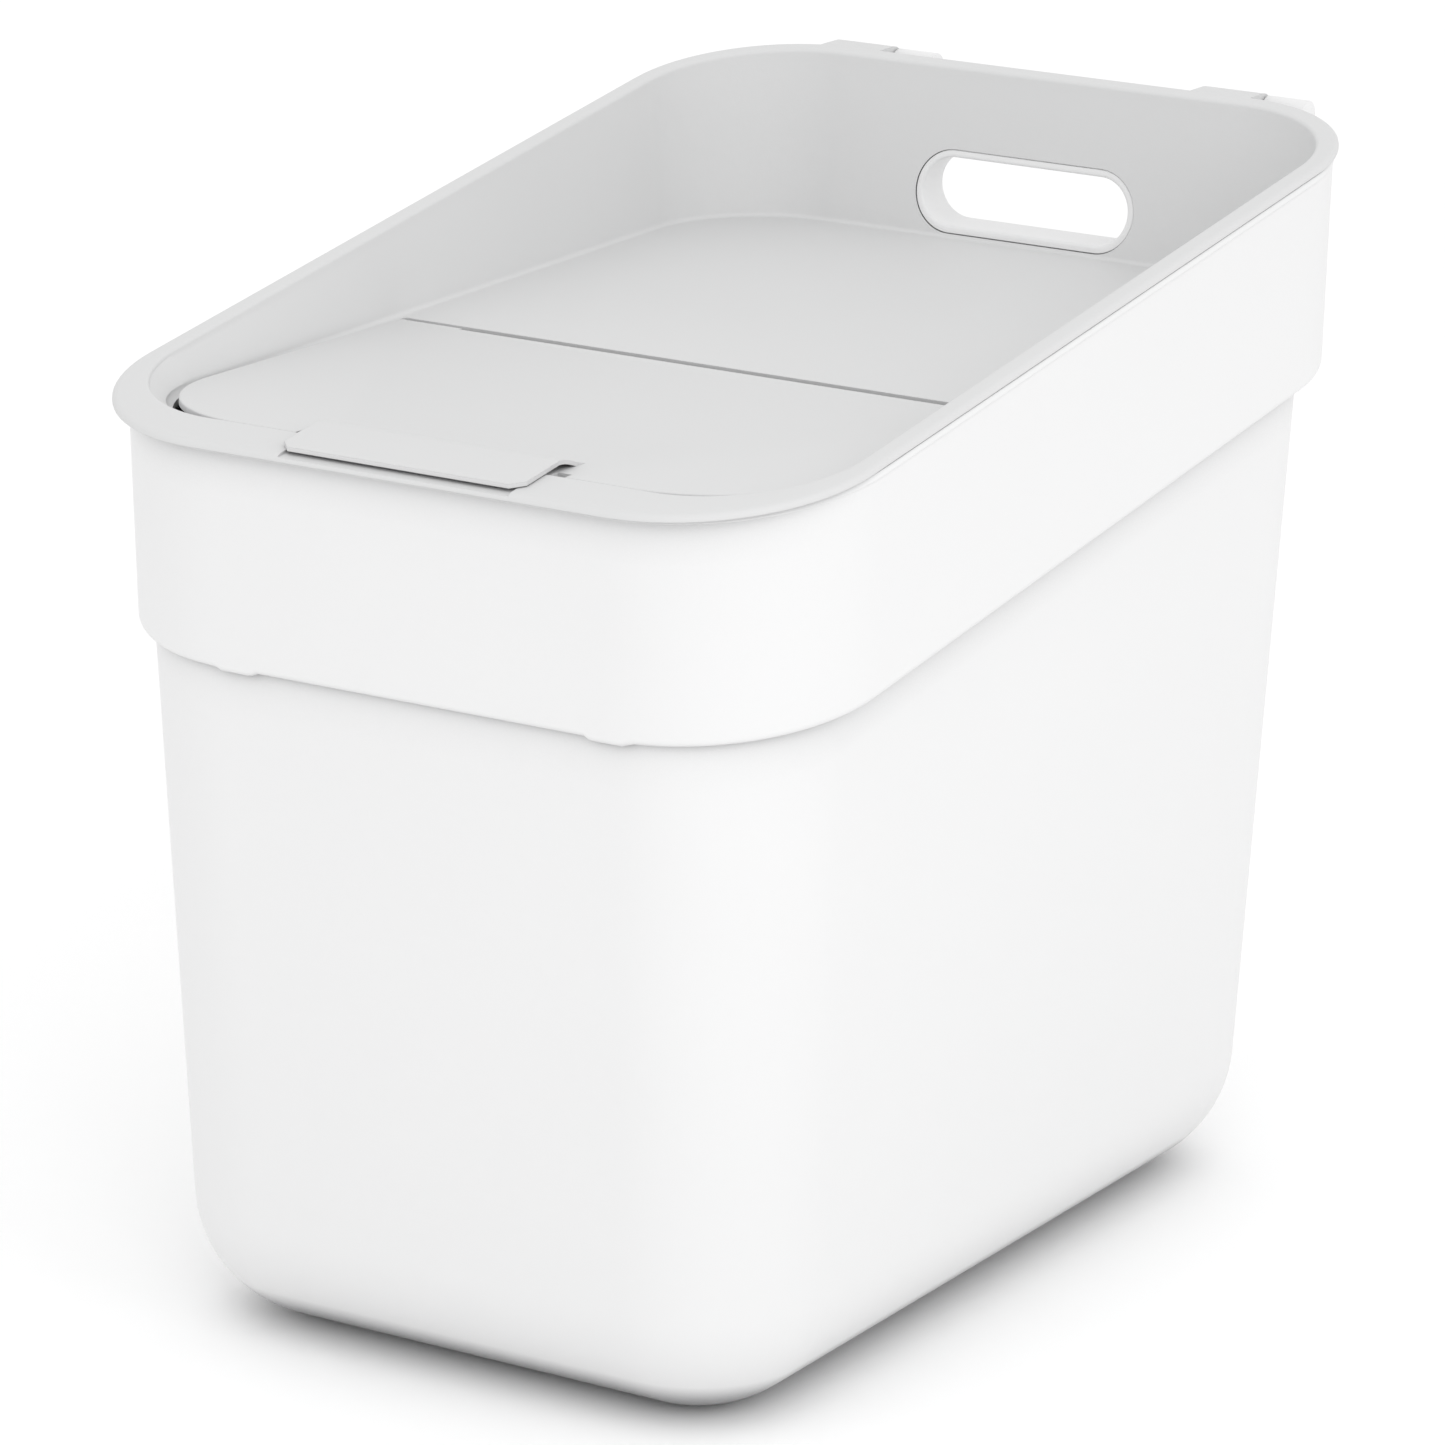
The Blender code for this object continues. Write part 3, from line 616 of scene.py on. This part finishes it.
def trayRing(extra, drop):
    inset = tuple(width + lean + extra for width, lean in zip(bandWidth, trayLean))
    steps = lidShape["cornerStep"]
    radii = (bandRadii[0] - steps[0] - extra, bandRadii[1] - steps[1] - extra)
    return level(insetRim(inset, *radii), trayTop - drop)


def rimRing(inset, drop):
    radii = (rim["frontRadius"] - inset, rim["rearRadius"] - inset)
    return onRim(insetRim((inset, inset, inset), *radii), drop)


def mixRing(a, b, share):
    return [p.lerp(q, share) for p, q in zip(a, b)]


def lidShell():
    edge = lidShape["bandEdge"]
    wallTop = bandRing(0.0, edge)
    wallFoot = trayRing(0.0, -trayFillet)
    rings = []
    # Tray edge and the fillet at the foot of the wall.
    for i in range(7):
        angle = math.radians(90 * i / 6)
        inset = trayFillet * (1 - math.sin(angle))
        rise = trayFillet * (1 - math.cos(angle))
        rings.append(trayRing(inset, -rise))
    for i in range(1, 8):
        rings.append(mixRing(wallFoot, wallTop, i / 8))
    rings.append(wallTop)
    # Inner edge of the band.
    for i in range(1, 6):
        angle = math.radians(90 * i / 6)
        rings.append(bandRing(-edge * (1 - math.cos(angle)), edge * (1 - math.sin(angle))))
    inner = bandRing(-edge, 0.0)
    rings.append(inner)
    rollWidth, rollDepth = lidShape["roll"]
    outer = rimRing(rollWidth, 0.0)
    rings.append(mixRing(inner, outer, 0.5))
    rings.append(outer)
    for i in range(1, 7):
        angle = math.radians(90 * i / 6)
        rings.append(rimRing(rollWidth * (1 - math.sin(angle)), rollDepth * (1 - math.cos(angle))))
    # Underside, from the outer edge back to the tray.
    lip = [(0.0, -0.2), (0.08, 0.05), (0.25, 0.2), (0.6, 0.28), (1.2, 0.3)]
    rings += [rimRing(inset * mm, lidWall + drop * mm) for inset, drop in lip]
    rings.append(bandRing(-lidWall, lidWall + 0.3 * mm))
    rings.append(trayRing(-lidWall, -trayFillet / 2))
    rings.append(trayRing(trayFillet, lidWall))
    return loft("lidFrame", rings, True, True)


def openingOutline(gap=0.0, extraRadius=0.0, rear=None, rearRadius=0.8 * mm):
    rear = trayEdge if rear is None else rear
    return rounded(
        openingHalf - gap,
        openingFront + gap,
        rear - gap,
        lidShape["openingRadius"] + extraRadius,
        rearRadius,
    )


def lidStrap(start):
    high = start + hinge["strapLength"]
    radius = hinge["knuckleRadius"]
    root = rim["rear"] - 2 * mm
    edge = rim["rear"] + lidShape["strapReach"]
    step = lidShape["strapStep"]
    rise = lidShape["strapRise"]
    under = [
        (root, rimZ(root, lidWall - 0.1 * mm)),
        (edge, rimZ(edge, lidWall)),
        (lidHinge.y - 0.4 * radius, lidHinge.z + radius - 2.2 * mm),
    ]
    over = [
        (lidHinge.y + 0.5 * radius, lidHinge.z + 0.8 * radius),
        (lidHinge.y, lidHinge.z + radius + 0.6 * rise),
        (lidHinge.y - 0.35 * radius, lidHinge.z + radius + rise),
        (edge, rimZ(edge, step)),
        (root, rimZ(root, step)),
    ]
    # The strap's free end falls away in a short chamfer.
    rings = []
    for along, fall in lidShape["strapEnd"]:
        top = [(y, z - fall * mm) for y, z in over[:-1]] + [over[-1]]
        rings.append([Vector((start + along * mm, y, z)) for y, z in under + top])
    rings.append([Vector((high, y, z)) for y, z in under + over])
    place = (lidHinge.y, lidHinge.z)
    ends = (high - hinge["pinRoot"], high + hinge["pinReach"])
    return [
        loft("strap", rings, True, True),
        rod("lidKnuckle", start, high, *place, radius),
        rod("lidPin", *ends, *place, hinge["pinRadius"]),
    ]


# What is cut away to round the tray's front edge.
def trayRoundOver():
    edge = lidShape["trayEdgeRound"]
    profile = [
        (trayEdge - mm, trayTop - edge),
        (trayEdge - mm, trayTop + mm),
        (trayEdge + edge, trayTop + mm),
    ]
    for i in range(9):
        angle = math.radians(90 + 90 * i / 8)
        profile.append(
            (trayEdge + edge + edge * math.cos(angle), trayTop - edge + edge * math.sin(angle))
        )
    reach = openingHalf - mm
    return bar("roundOver", profile, -reach, reach)


# The bosses beside the opening, and the bores for the flap's pins.
def flapSockets():
    bosses = []
    bores = []
    half = lidShape["bossHalf"]
    for side in (-1, 1):
        xs = sorted((side * openingHalf, side * (openingHalf + lidShape["bossWidth"])))
        low = (xs[0], flapHinge.y - half, flapHinge.z - half)
        high = (xs[1], flapHinge.y + half, trayTop - lidShape["bossTopDrop"])
        bosses.append(block("boss", low, high))
        ends = (side * (openingHalf - mm), side * (openingHalf + lidShape["flapBoreDepth"]))
        radius = lidShape["flapBoreRadius"]
        bores.append(rod("flapBore", *sorted(ends), flapHinge.y, flapHinge.z, radius, 0))
    return bosses, bores


def makeLid():
    lid = lidShell()
    opening = prism(
        "opening",
        openingOutline(),
        lambda y: trayTop - margin,
        lambda y: rimZ(openingFront) + mm,
    )
    wide = 2 * lidShape["slotBevel"]
    depth = lidWall + 0.2 * mm
    slotCut = slotSolid(
        "slotCut",
        [
            (slotSize[0] + 3 * wide, slotSize[1] + 3 * wide, lambda z: lidRearY(z) + 3 * depth),
            (slotSize[0] + wide, slotSize[1] + wide, lambda z: lidRearY(z) + depth),
            (*slotSize, lambda z: lidRearY(z)),
            (*slotSize, lambda z: lidRearY(z) - 3 * mm),
        ],
    )
    half = lidShape["scoopHalf"]
    front = rim["front"] - mm
    reach = rim["front"] + lidShape["scoopLength"]
    scoop = prism(
        "scoop",
        [(-half, front), (half, front), (half, reach), (-half, reach)],
        lambda y: rimZ(y, lidShape["scoopDepth"]),
        lambda y: rimZ(y, -3 * mm),
    )
    cuts = [opening, slotCut, scoop, trayRoundOver()]
    added, bores = flapSockets()
    for start in hingeStarts:
        added += lidStrap(start)
    combine(lid, cuts, "DIFFERENCE")
    combine(lid, added, "UNION")
    combine(lid, bores, "DIFFERENCE")
    bake(lid)
    dropTools(cuts + added + bores)
    dress(lid, greyPlastic)
    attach(lid, "lid")
    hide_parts("lid_frame")


makeLid()
print("lid made")

# Flap

flapGap = 0.6 * mm
flapShape = {
    "half": openingHalf - flapGap,
    "front": openingFront + flapGap,
    "extraRadius": 2.0 * mm,
    "rearReach": 0.92 * mm,
    "barrelRadius": 3.2 * mm,
    "thickness": 2.0 * mm,
    "frontStep": 0.8 * mm,
    "ear": 21.5 * mm,
    "earGap": 0.25 * mm,
    "pinLength": 3.4 * mm,
    "groove": 2.6 * mm,
    "edge": 0.45 * mm,
    "skirtInset": 6.0 * mm,
    "skirtWall": 1.6 * mm,
    "skirtDepth": 6.0 * mm,
    "skirtRadii": (40.0 * mm, 4.0 * mm),
    "tabHalf": 39.0 * mm,
    "tabSetback": 2.6 * mm,
    "tabThickness": 1.2 * mm,
    "tabClearance": 0.3 * mm,
    "tabChamfer": 3.5 * mm,
    "tabRoot": 4.0 * mm,
    "tabRamp": 14.0 * mm,
    "notch": (4.4 * mm, 3.4 * mm),
}


def flapZ(y, drop=0.0):
    front = rimZ(flapShape["front"], flapShape["frontStep"])
    rear = flapHinge.z + flapShape["barrelRadius"]
    share = (flapHinge.y - y) / (flapHinge.y - flapShape["front"])
    return rear + (front - rear) * share - drop


def flapPlate():
    rear = flapHinge.y + flapShape["rearReach"]
    edge = flapShape["edge"]

    def ring(inset, drop):
        outline = openingOutline(flapGap + inset, flapShape["extraRadius"], rear + inset)
        return [Vector((x, y, flapZ(y, drop))) for x, y in outline]

    rings = [ring(0.0, flapShape["thickness"])]
    for i in range(6):
        angle = math.radians(90 * i / 5)
        rings.append(ring(edge * (1 - math.cos(angle)), edge * (1 - math.sin(angle))))
    return loft("flapPanel", rings, True, True)


def tabHeight(y, drop=0.0):
    overBand = flapShape["tabClearance"] + flapShape["tabThickness"]
    start = flapShape["front"] + flapShape["tabRoot"]
    share = min(max((y - start) / flapShape["tabRamp"], 0.0), 1.0)
    blend = share * share * (3 - 2 * share)
    high = rimZ(min(y, start), -overBand)
    return (1 - blend) * high + blend * flapZ(y, 0.1 * mm) - drop


def thumbTab():
    half = flapShape["tabHalf"]
    front = rim["front"] + flapShape["tabSetback"]
    start = flapShape["front"] + flapShape["tabRoot"]
    lengths = [front] + [start + flapShape["tabRamp"] * i / 16 for i in range(17)]
    top = [(y, tabHeight(y)) for y in reversed(lengths)]
    bottom = [(y, tabHeight(y, flapShape["tabThickness"])) for y in lengths]
    tab = bar("tab", bottom + top, -half, half)
    chamfer = flapShape["tabChamfer"]
    over = 0.1 * mm
    rear = lengths[-1] + mm
    plan = [
        (-half + chamfer, front - over),
        (half - chamfer, front - over),
        (half + over, front + chamfer),
        (half + over, rear),
        (-half - over, rear),
        (-half - over, front + chamfer),
    ]
    deep = 2 * margin
    outline = prism("tabPlan", plan, lambda y: rimZ(y, deep), lambda y: rimZ(y, -deep))
    combine(tab, [outline], "INTERSECT")
    bake(tab)
    dropTools([outline])
    return tab


def flapSkirt():
    frontRadius, rearRadius = flapShape["skirtRadii"]
    inset = flapShape["skirtInset"]
    depth = flapShape["skirtDepth"]

    def ring(inset):
        return rounded(
            flapShape["half"] - inset,
            flapShape["front"] + inset,
            flapHinge.y - flapShape["barrelRadius"] - inset / 2,
            frontRadius - inset,
            rearRadius,
        )

    outer = prism("skirt", ring(inset), lambda y: flapZ(y, depth), lambda y: flapZ(y, mm))
    inner = prism(
        "skirtInner",
        ring(inset + flapShape["skirtWall"]),
        lambda y: flapZ(y, margin),
        lambda y: flapZ(y, 1.5 * mm),
    )
    combine(outer, [inner], "DIFFERENCE")
    bake(outer)
    dropTools([inner])
    return outer


def makeFlap():
    flap = flapPlate()
    half = flapShape["half"] - flapShape["ear"]
    grooveY = trayEdge - flapGap - flapShape["groove"]
    cuts = [
        block(
            "groove",
            (-half, grooveY, flapHinge.z - margin),
            (half, trayEdge, flapHinge.z + margin),
        )
    ]
    width, length = flapShape["notch"]
    added = [flapSkirt()]
    place = (flapHinge.y, flapHinge.z)
    for side in (-1, 1):
        xs = sorted((side * flapShape["tabHalf"], side * (flapShape["tabHalf"] + width)))
        low = (xs[0], flapShape["front"] - 2 * mm, trayTop - margin)
        high = (xs[1], flapShape["front"] + length, rimZ(flapShape["front"], -2 * margin))
        cuts.append(block("notch", low, high))
        outer = side * (flapShape["half"] - flapShape["earGap"])
        tip = side * (flapShape["half"] + flapShape["pinLength"])
        root = side * (flapShape["half"] - 2 * mm)
        barrel = sorted((side * half, outer))
        added.append(rod("barrel", *barrel, *place, flapShape["barrelRadius"]))
        added.append(rod("stub", *sorted((root, tip)), *place, lidShape["flapPinRadius"]))
    tab = thumbTab()
    combine(flap, added, "UNION")
    combine(flap, cuts, "DIFFERENCE")
    combine(flap, [tab], "UNION")
    bake(flap)
    dropTools(added + cuts + [tab])
    dress(flap, greyPlastic)
    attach(flap, "flap")
    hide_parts("flap")


makeFlap()
print("flap made")

# Stage


def makeFloor():
    mesh = bpy.data.meshes.new("floor")
    reach = 12.0
    corners = [(-reach, -reach, 0), (reach, -reach, 0), (reach, reach, 0), (-reach, reach, 0)]
    mesh.from_pydata(corners, [], [(0, 1, 2, 3)])
    floor = newObject("floor", mesh)
    material = bpy.data.materials.new("floorPaper")
    material.use_nodes = True
    shader = material.node_tree.nodes["Principled BSDF"]
    shader.inputs["Base Color"].default_value = (0.95, 0.95, 0.95, 1.0)
    shader.inputs["Roughness"].default_value = 0.9
    shader.inputs["Specular IOR Level"].default_value = 0.1
    mesh.materials.append(material)


makeFloor()

world = bpy.data.worlds.new("studio")
world.use_nodes = True
world.node_tree.nodes["Background"].inputs["Color"].default_value = (1.0, 1.0, 1.0, 1.0)
world.node_tree.nodes["Background"].inputs["Strength"].default_value = 1.07
bpy.context.scene.world = world


def softBox(name, place, target, size, power):
    light = bpy.data.lights.new(name, "AREA")
    light.shape = "RECTANGLE"
    light.size, light.size_y = size
    light.energy = power
    lamp = bpy.data.objects.new(name, light)
    bpy.context.scene.collection.objects.link(lamp)
    lamp.location = place
    lamp.rotation_mode = "QUATERNION"
    lamp.rotation_quaternion = (Vector(target) - Vector(place)).to_track_quat("-Z", "Y")


softBox("keyLight", (0.85, -1.15, 0.95), (0, 0, 0.2), (0.7, 0.7), 3.0)
softBox("sideLight", (1.5, -0.3, 1.0), (0, 0, 0.25), (0.9, 0.9), 2.6)


view = {
    "angles": (32.193, 16.692, 0.297),
    "target": (0, 0, 160 * mm),
    "shift": (4.638 * mm, 5.396 * mm),
    "distance": 2058.4 * mm,
    "lens": 178.23,
}


def makeCamera():
    azimuth, elevation, roll = (math.radians(angle) for angle in view["angles"])
    back = Vector(
        (
            math.sin(azimuth) * math.cos(elevation),
            -math.cos(azimuth) * math.cos(elevation),
            math.sin(elevation),
        )
    )
    right = Vector((math.cos(azimuth), math.sin(azimuth), 0))
    up = back.cross(right)
    tiltedRight = right * math.cos(roll) + up * math.sin(roll)
    tiltedUp = up * math.cos(roll) - right * math.sin(roll)
    shift = view["shift"]
    target = Vector(view["target"]) - tiltedRight * shift[0] - tiltedUp * shift[1]
    data = bpy.data.cameras.new("camera")
    data.sensor_width = 36
    data.lens = view["lens"]
    data.clip_start = 0.1
    data.clip_end = 100
    camera = bpy.data.objects.new("camera", data)
    bpy.context.scene.collection.objects.link(camera)
    axes = Matrix((tiltedRight, tiltedUp, back)).transposed()
    camera.matrix_world = Matrix.Translation(target + back * view["distance"]) @ axes.to_4x4()
    bpy.context.scene.camera = camera


makeCamera()
bpy.context.scene.view_settings.view_transform = "Standard"
print("stage made")
